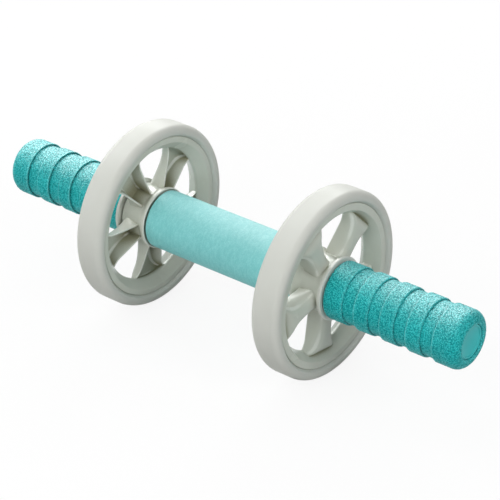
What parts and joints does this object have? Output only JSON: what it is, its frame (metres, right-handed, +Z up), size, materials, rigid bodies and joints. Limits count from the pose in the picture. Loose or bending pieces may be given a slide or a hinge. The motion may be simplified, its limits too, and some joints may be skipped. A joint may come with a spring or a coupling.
{
  "type": "ab wheel roller",
  "caption": "Exercise roller for the abdomen: spoked wheels that spin freely on a long axle, with a foam sleeve between them and channelled foam hand grips outside.",
  "frame": {"origin": "middle of the axle, half-way between the wheels", "axes": "+X along the axle towards the right-hand grip, +Z up, the wheels roll along Y"},
  "size_m": [0.408, 0.14, 0.14],
  "materials": {
    "tyre_rubber": "satin",
    "wheel_plastic": "satin",
    "sleeve_foam": "matte, fine foam skin",
    "grip_foam": "matte, coarse foam skin",
    "plug_plastic": "gloss",
    "core_plastic": "satin",
    "steel": "drawn, zinc plated",
    "bush_nylon": "moulded",
    "washer_plastic": "moulded"
  },
  "bodies": {
    "axle": {"axle_tube": "steel", "centre_spacer": "core_plastic", "centre_sleeve": "sleeve_foam", "left_handle_core": "core_plastic", "left_grip": "grip_foam", "left_end_plug": "plug_plastic", "left_roll_pin": "steel", "left_inner_washer": "washer_plastic", "left_outer_washer": "washer_plastic", "right_handle_core": "core_plastic", "right_grip": "grip_foam", "right_end_plug": "plug_plastic", "right_roll_pin": "steel", "right_inner_washer": "washer_plastic", "right_outer_washer": "washer_plastic"},
    "left_wheel": {"left_wheel_core": "wheel_plastic", "left_tyre": "tyre_rubber", "left_inner_bush": "bush_nylon", "left_outer_bush": "bush_nylon"},
    "right_wheel": {"right_wheel_core": "wheel_plastic", "right_tyre": "tyre_rubber", "right_inner_bush": "bush_nylon", "right_outer_bush": "bush_nylon"}
  },
  "joints": [
    {"name": "left_wheel_spin", "type": "hinge", "parent": "axle", "child": "left_wheel", "pos_m": [-0.08, 0, 0], "axis": [1, 0, 0], "continuous": true},
    {"name": "right_wheel_spin", "type": "hinge", "parent": "axle", "child": "right_wheel", "pos_m": [0.08, 0, 0], "axis": [1, 0, 0], "continuous": true}
  ]
}
